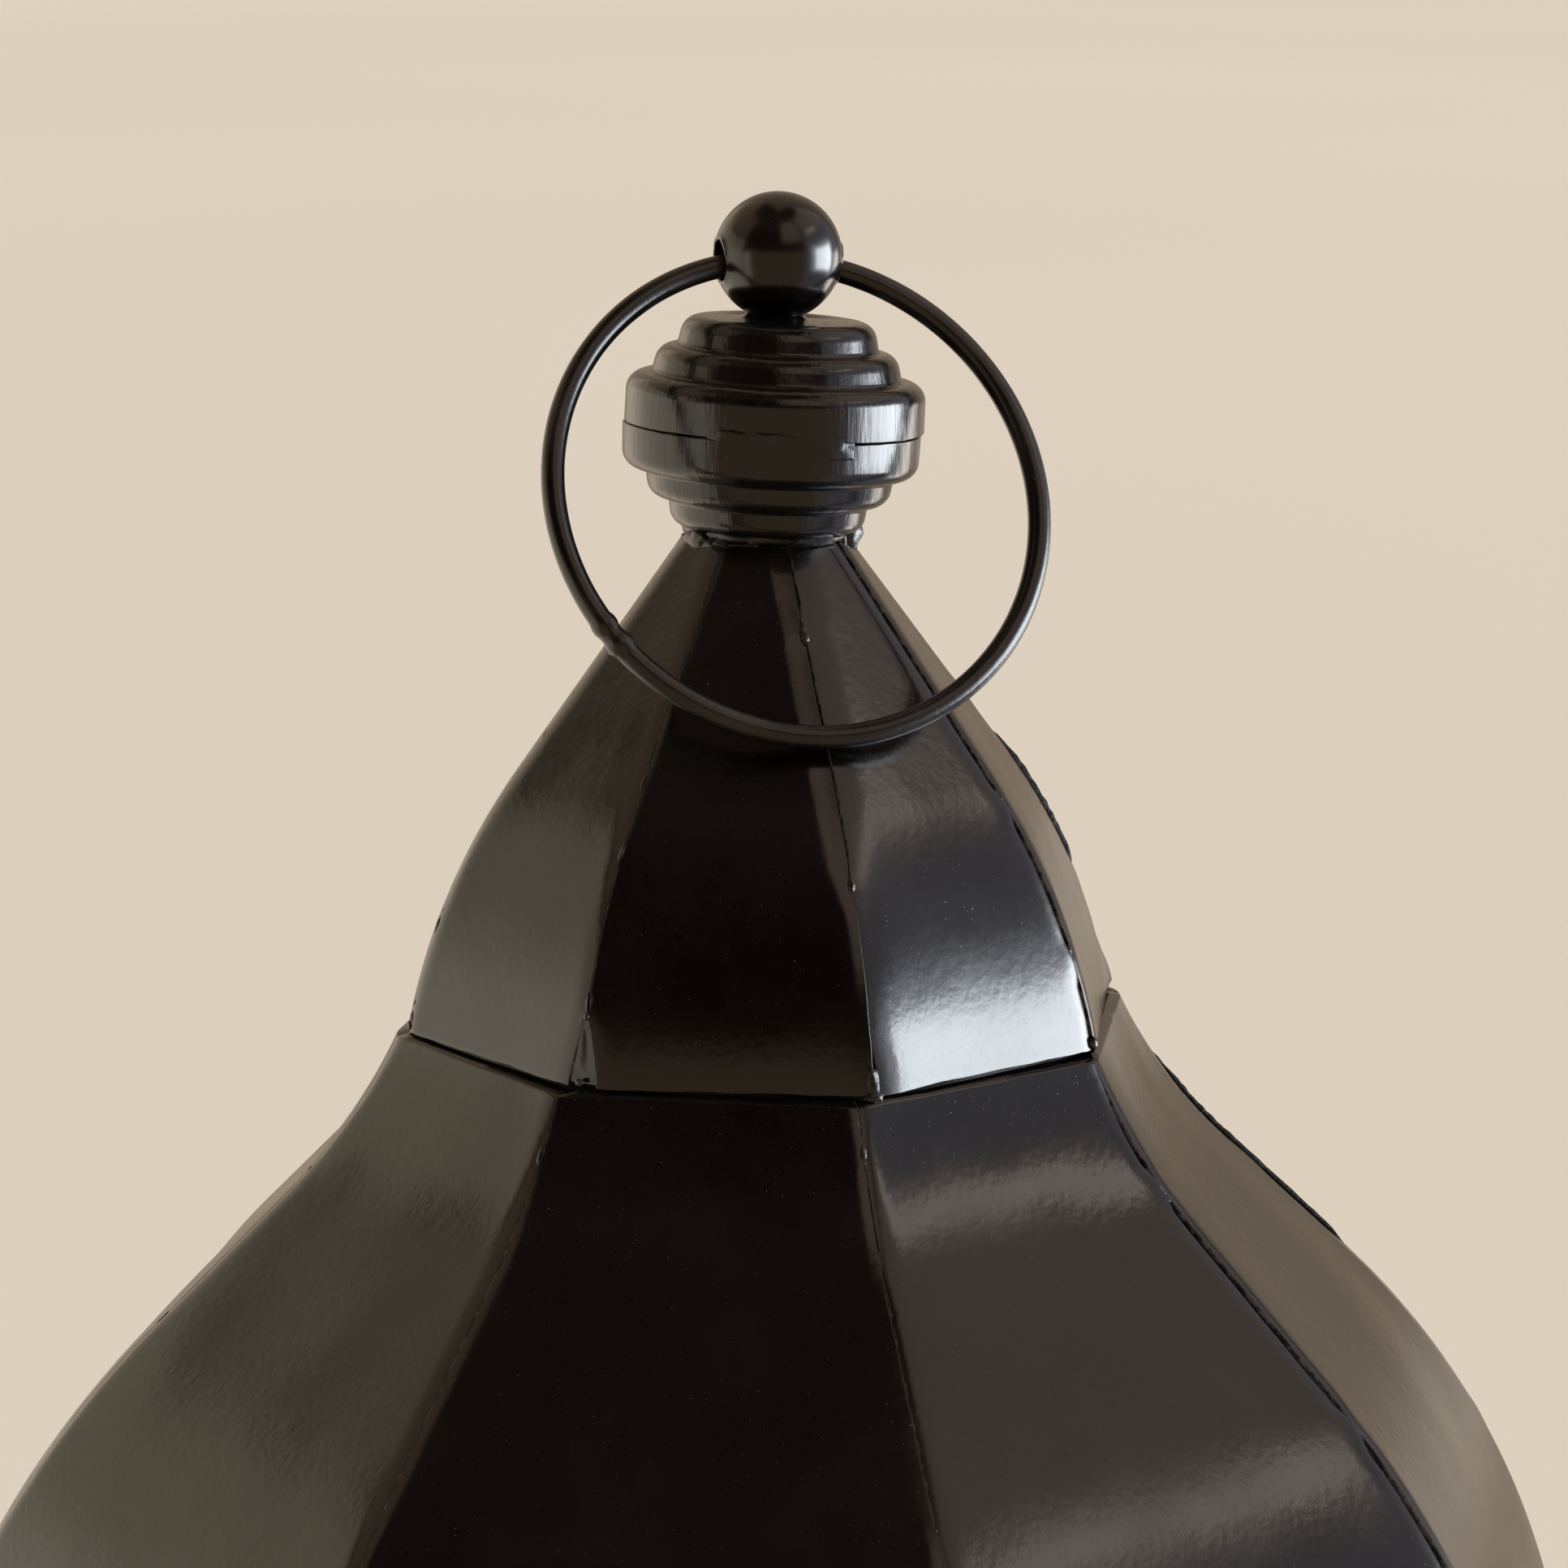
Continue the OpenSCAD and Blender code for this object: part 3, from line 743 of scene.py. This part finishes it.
def rounded(corners, steps=7):
    """Closed outline through (r, z, radius) corners, each eased by its radius."""
    outline = []
    n = len(corners)
    for i, (r, z, radius) in enumerate(corners):
        here = Vector((r, z))
        if not radius:
            outline.append((r, z))
            continue
        back = (Vector(corners[i - 1][:2]) - here).normalized()
        ahead = (Vector(corners[(i + 1) % n][:2]) - here).normalized()
        half = back.angle(ahead) / 2
        centre = here + (back + ahead).normalized() * (radius / math.sin(half))
        start = here + back * (radius / math.tan(half)) - centre
        end = here + ahead * (radius / math.tan(half)) - centre
        turn = math.atan2(start.x * end.y - start.y * end.x, start.dot(end))
        for j in range(steps + 1):
            t = turn * j / steps
            outline.append((centre.x + start.x * math.cos(t) - start.y * math.sin(t),
                            centre.y + start.x * math.sin(t) + start.y * math.cos(t)))
    return outline


# Stepped pressings as (r, z, corner radius) in the finial frame, outside first, then inside.
CAP_UPPER = ((3.0, 33.55, 0), (14.8, 33.2, 3.0), (15.8, 28.75, 0.9), (18.6, 28.55, 2.9),
             (19.6, 24.35, 0.9), (23.4, 24.15, 2.9), (23.5, 16.4, 0.2), (22.5, 16.4, 0),
             (22.5, 23.0, 0), (18.3, 23.4, 0), (18.3, 27.6, 0), (14.5, 27.8, 0), (14.5, 32.0, 0),
             (3.0, 32.4, 0))
CAP_LOWER = ((11.0, 0.35, 0), (15.0, 0.4, 2.6), (15.7, 4.75, 0.8), (18.8, 4.9, 2.7),
             (19.5, 9.15, 0.8), (23.2, 9.3, 2.8), (23.4, 16.36, 0.2), (22.4, 16.36, 0),
             (22.4, 10.4, 0), (18.3, 10.2, 0), (18.3, 6.0, 0), (14.4, 5.8, 0), (14.4, 1.4, 0),
             (10.0, 1.4, 0), (10.0, -6.0, 0), (11.0, -6.0, 0))
SEAM_Z = 16.38
UPPER_SHIFT = Vector((0.8, 0, 0))
LOWER_SHIFT = Vector((0.45, 0, 0))


def pressed(r, z, turn):
    """Slight unevenness of a pressing, with a ragged edge where the two halves meet."""
    east, north = cos(turn), sin(turn)
    r += 0.05 * rough(east * 1.6, north * 1.6, z * 0.12)
    near = 1 - ease(abs(z - SEAM_Z), 0.1, 1.2)
    open_seam = 0.02 + 0.13 * ease(rough(east * 1.3 + 3.1, north * 1.3, 6.0), -0.25, 0.25)
    ragged = 0.05 * rough(east * 14, north * 14, 3.0)
    return r, z + near * (open_seam + ragged if z > SEAM_Z else -open_seam + ragged)


def add_caps():
    for name, outline, shift in (("cap_upper", CAP_UPPER, UPPER_SHIFT),
                                 ("cap_lower", CAP_LOWER, LOWER_SHIFT)):
        vertices, faces = spun(rounded(outline), 180, pressed)
        matrix = finial_frame() @ Matrix.Translation(shift)
        obj = new_object("looks_" + name, moved(vertices, matrix), faces, (brushed,))
        place(obj, "lantern", "finial_paint", name)


def add_seam_filler():
    """Filler smeared over the front of the joint between the two cap halves."""
    rows, cols, half_height = 15, 61, 2.4
    turn_from, turn_by = -132, 58
    wall, thickest = 23.32, 0.22
    front, back = [], []
    for i in range(rows):
        v = 2 * i / (rows - 1) - 1
        z = SEAM_Z + half_height * v
        for j in range(cols):
            turn = turn_from + turn_by * j / (cols - 1)
            ends = 1 - abs(2 * j / (cols - 1) - 1)
            smear = min(ends * 3.2, 1 - abs(v)) + 0.28 * rough(turn * 0.16, z * 0.7, 4.0)
            r = wall + thickest * ease(smear, 0.05, 0.75)
            radial = Vector((cos(turn), sin(turn), 0))
            spot = radial * r + Vector((0, 0, z)) + UPPER_SHIFT * 0.8
            front.append(spot)
            back.append(spot - radial * 0.5)
    vertices, faces, _ = slab(rows, cols, front, back)
    obj = new_object("seam_filler", moved(vertices, finial_frame()), faces, (brushed,))
    place(obj, "lantern", "finial_paint")


def add_ball():
    """Hollow-drilled ball: each meridian runs from the left hole mouth over to the right one,
    then back through the bore."""
    meridians, spans, lip = 120, 60, 0.45
    drop = HOLE_Z - BALL_Z
    vertices, faces = [], []
    for i in range(meridians):
        turn = 360 * i / meridians
        y, z = HOLE_R * cos(turn), drop + HOLE_R * sin(turn)
        around = math.atan2(z, y)
        off = math.hypot(y, z)
        reach = math.degrees(math.acos(off / BALL_R)) - 2.4
        burr = 0.16 + 0.10 * rough(cos(turn) * 2.2, sin(turn) * 2.2, 1.5)
        row = []
        for j in range(spans + 1):
            # Points crowd together toward the mouths.
            angle = reach * sin(90 * (2 * j / spans - 1))
            near = max(0.0, 1 - (reach - abs(angle)) / 5.0)
            r = BALL_R + burr * near * near
            row.append((r * sin(angle), r * cos(angle), around))
        mouth = row[-1][0]
        for x in (mouth - 0.05, mouth - lip, 0.0, lip - mouth, 0.05 - mouth):
            row.append((x, off - (0.12 if abs(x) > mouth - 0.1 else 0.0), around))
        for x, r, a in row:
            vertices.append((x, r * math.cos(a), BALL_Z + r * math.sin(a)))
    n = spans + 6
    for i in range(meridians):
        k = (i + 1) % meridians
        for j in range(n):
            m = (j + 1) % n
            faces.append((i * n + j, k * n + j, k * n + m, i * n + m))
    obj = new_object("looks_finial_ball", moved(vertices, finial_frame()), faces, (gloss_black,))
    place(obj, "lantern", "finial_paint", "finial_ball")
    neck = ((2.6, 31.5, 0), (7.0, 33.1, 0), (5.1, 33.55, 1.2), (4.15, 34.2, 0.5), (3.8, 35.2, 0),
            (2.6, 34.9, 0))

    def lumpy(r, z, turn):
        return r + 0.22 * ease(z, 33.0, 33.6) * rough(cos(turn) * 3, sin(turn) * 3, z), z

    vertices, faces = spun(rounded(neck), 96, lumpy)
    obj = new_object("ball_neck", moved(vertices, finial_frame()), faces, (gloss_black,))
    place(obj, "lantern", "finial_paint")


# The ring's weld has two ridges: angle round the ring, height, and width as an angle.
WELD_RIDGES = ((123, 0.34, 1.1), (128.5, 0.42, 1.4))


def add_ring():
    """Carry ring of round wire, butt-welded to one side."""
    count, sides = 300, 24
    sag = RING_R - math.sqrt(RING_R ** 2 - BALL_R ** 2)
    axis_z = HOLE_Z - HOLE_R + sag / 2 + WIRE_R + 0.3
    matrix = (finial_frame() @ Matrix.Translation((0, 0, axis_z))
              @ Matrix.Rotation(math.radians(-90 - RING_TILT), 4, "X")
              @ Matrix.Translation((0, RING_R - sag / 2, 0)))
    path, radii = [], []
    for i in range(count):
        turn = 360 * i / count
        path.append(Vector((-RING_R * sin(turn), -RING_R * cos(turn), 0)))
        swell = sum(high * math.exp(-((turn - at) / wide) ** 2) for at, high, wide in WELD_RIDGES)
        radii.append(WIRE_R + swell + 0.02 * rough(cos(turn) * 7, sin(turn) * 7))
    vertices, faces = swept(path, radii, sides, closed=True)
    obj = new_object("looks_carry_ring", moved(vertices, matrix), faces, (wire_black,))
    place(obj, "ring", "finial_paint", "carry_ring")


# Lumps of solder round the neck: bearing, radius, height, then length, breadth and height.
NECK_LUMPS = ((-47, 12.6, 546.3, 1.6, 3.0, 1.0), (-35, 12.6, 545.7, 1.5, 2.6, 0.7),
              (-24, 12.5, 545.4, 1.8, 2.2, 0.6), (-20, 12.9, 543.6, 1.9, 0.7, 0.4),
              (-8, 12.3, 545.9, 1.0, 3.0, 0.4), (97, 12.9, 546.6, 3.3, 2.6, 2.4),
              (80, 13.2, 544.8, 2.4, 0.8, 0.5),
              (128, 12.9, 545.9, 1.3, 1.5, 0.4), (205, 12.8, 545.8, 1.1, 1.6, 0.4),
              (292, 12.9, 545.7, 1.2, 1.3, 0.4))


def add_neck_solder():
    """Ring of solder between crown and cap, with lumps where it ran."""
    fillet = ((11.0, 2.0, 0), (14.6, 1.9, 0), (13.2, 0.3, 1.3), (12.9, -0.7, 0), (11.0, -0.7, 0))

    def lumpy(r, z, turn):
        if r < 11.5:
            return r, z
        east, north = cos(turn), sin(turn)
        swell = 0.22 * rough(east * 3, north * 3, z * 0.5) + 0.10 * rough(east * 11, north * 11, z)
        return r + swell, z + 0.25 * rough(east * 6, north * 6, 2.0)

    vertices, faces = spun(rounded(fillet), 144, lumpy)
    parts = [(moved(vertices, finial_frame() @ Matrix.Translation(LOWER_SHIFT * 0.5)), faces)]
    for i, (bearing, r, z, length, breadth, height) in enumerate(NECK_LUMPS):
        out = Vector((sin(bearing), -cos(bearing), 0))
        centre, size = out * r + Vector((0, 0, z)), (length, breadth, height)
        parts.append(blob(centre, (0, 0, -1), out, size, i * 2.3))
    obj = new_object("neck_solder", *merged(parts), (weld,))
    place(obj, "lantern", "finial_paint")


def add_corner_fill():
    """The folded piece behind the crown's front left corner, where two petals fall short."""
    top, foot, cols = 485, 469, 13
    profile = [p for p in crown_profile() if p[1] < top]
    turn = seam_bearing(1, CROWN_TWIST)
    out, up = Vector((sin(turn), -cos(turn), 0)), Vector((0, 0, 1))
    side = Vector((cos(turn), sin(turn), 0))
    front, back = [], []
    for a, z, angle in profile:
        width = 0.4 + 3.7 * ease(z, top, foot)
        reach = a / cos(HALF) - 0.30 - width * sin(HALF)
        normal = out * cos(angle) + up * sin(angle)
        for j in range(cols):
            w = 2 * j / (cols - 1) - 1
            dent = 0.16 * rough(w * 1.7, z * 0.4, 3.0) + 0.12 * (1 - w * w)
            front.append(out * reach + side * (w * width) + up * z + normal * dent)
            back.append(out * reach + side * (w * width) + up * z + normal * (dent - SHEET))
    vertices, faces, tags = slab(len(profile), cols, front, back)
    obj = new_object("corner_fill", vertices, faces, (enamel, raw_edge), tags)
    place(obj, "lantern", "roof_paint")


# Weld beads at the feet of the crown's seams: seam, height, then length, breadth and height.
LIP_BEADS = ((2, 472.0, (2.6, 0.9, 0.6)), (2, 470.2, (0.8, 1.5, 0.6)), (3, 471.2, (1.0, 0.8, 0.7)),
             (1, 480.5, (0.7, 0.5, 0.5)), (1, 471.0, (0.6, 0.7, 0.4)), (8, 470.8, (0.9, 0.7, 0.4)))


def add_lip_beads():
    lumps = []
    for i, (n, z, size) in enumerate(LIP_BEADS):
        point, down, away = seam_place(crown_profile(), n, CROWN_TWIST, z)
        lumps.append(blob(point - away * 0.5, down, away, size, 20 + i * 3.1))
    obj = new_object("lip_beads", *merged(lumps), (weld,))
    place(obj, "lantern", "roof_paint")


# Runs of burnt weld in the two tiers' fourth seams: tier, from and to height, radius, depth.
SEAM_WELDS = (("crown", 518, 487, 1.0, 0.75), ("roof", 464, 421, 0.6, 0.5))


def add_seam_welds():
    parts = []
    for tier, top, foot, radius, depth in SEAM_WELDS:
        profile, twist = (crown_profile(), CROWN_TWIST) if tier == "crown" else (roof_profile(), 0)
        turn = seam_bearing(4, twist)
        out = Vector((sin(turn), -cos(turn), 0))
        path, radii = [], []
        for a, z, _ in profile:
            if foot < z < top:
                ends = ease(z, top, top - 12) * ease(z, foot, foot + 6)
                lumps = 0.28 * rough(z * 0.9, radius) + 0.14 * rough(z * 2.7, radius)
                sink = depth + 0.9 * (1 - ends)
                path.append(out * (a / cos(HALF) - sink) + Vector((0, 0, z)))
                radii.append(radius * max(0.35 + 0.65 * ends + lumps, 0.2))
        parts.append(swept(path, radii, 16))
    obj = new_object("seam_welds", *merged(parts), (scale_black,))
    place(obj, "lantern", "roof_paint")


# ---------------------------------------------------------------- build

# Paints by name: darkest and lightest colour, roughness, then strength and size of the orange peel,
# and the drag marks.
PAINTS = {
    "black_enamel": ((0.0016, 0.0011, 0.0009), (0.0038, 0.0031, 0.0028), 0.155, 0.047, 1.3),
    "brushed_enamel": ((0.0018, 0.0013, 0.0011), (0.0046, 0.0038, 0.0034), 0.17, 0.03, 1.0, 3.6),
    "gloss_enamel": ((0.0015, 0.0010, 0.0008), (0.0036, 0.0028, 0.0024), 0.18, 0.02, 1.6),
    "wire_enamel": ((0.0016, 0.0012, 0.0010), (0.013, 0.0095, 0.0078), 0.27, 0.05, 0.8),
    "inner_enamel": ((0.006, 0.005, 0.0045), (0.014, 0.012, 0.010), 0.36, 0.06, 0.9),
    "fitting_enamel": ((0.0025, 0.0020, 0.0018), (0.007, 0.006, 0.005), 0.24, 0.05, 0.7),
    "dish_enamel": ((0.004, 0.0034, 0.003), (0.012, 0.010, 0.008), 0.30, 0.05, 1.2),
}
paint = {name: painted_steel(name, *recipe) for name, recipe in PAINTS.items()}
enamel = paint["black_enamel"]
brushed = paint["brushed_enamel"]
gloss_black = paint["gloss_enamel"]
wire_black = paint["wire_enamel"]
glass = window_glass("window_glass")
raw_edge = cut_edge("sheared_edge")
weld = solder("weld_metal")
scale_black = burnt("weld_scale")

# The finish of each CAD node that stays, by its name without its number; the rest are enamel.
CAD_FINISH = {
    "glass": glass,
    "door_glass": glass,
    "candle_dish": paint["dish_enamel"],
    "collar": paint["inner_enamel"],
    "floor_plate": paint["inner_enamel"],
    "hinge_upper": paint["fitting_enamel"],
    "hinge_lower": paint["fitting_enamel"],
    "door_knob": paint["fitting_enamel"],
    "latch_pivot": paint["fitting_enamel"],
    "latch_hook": paint["fitting_enamel"],
    "latch_stud": paint["fitting_enamel"],
}

add_camera()
add_world()
add_overhead()
add_floor()
add_tier("roof", roof_profile(), 0, ROOF_SEAMS, 0.30, 0.16)
add_tier("crown", crown_profile(), CROWN_TWIST, CROWN_SEAMS, 0.20, 0.24)
add_tacks("roof_tacks", roof_profile(), 0, ROOF_SEAMS, 5)
add_tacks("crown_tacks", crown_profile(), CROWN_TWIST, CROWN_SEAMS, 9)
add_caps()
add_seam_filler()
add_ball()
add_ring()
add_neck_solder()
add_corner_fill()
add_lip_beads()
add_seam_welds()

for node_name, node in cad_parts.items():
    kind = node_name.rstrip("0123456789").rstrip("_")
    finish = CAD_FINISH.get(kind, enamel)
    node.data.materials.clear()
    node.data.materials.append(finish)
    if finish is not glass:
        bevel(node, 0.3, 40)
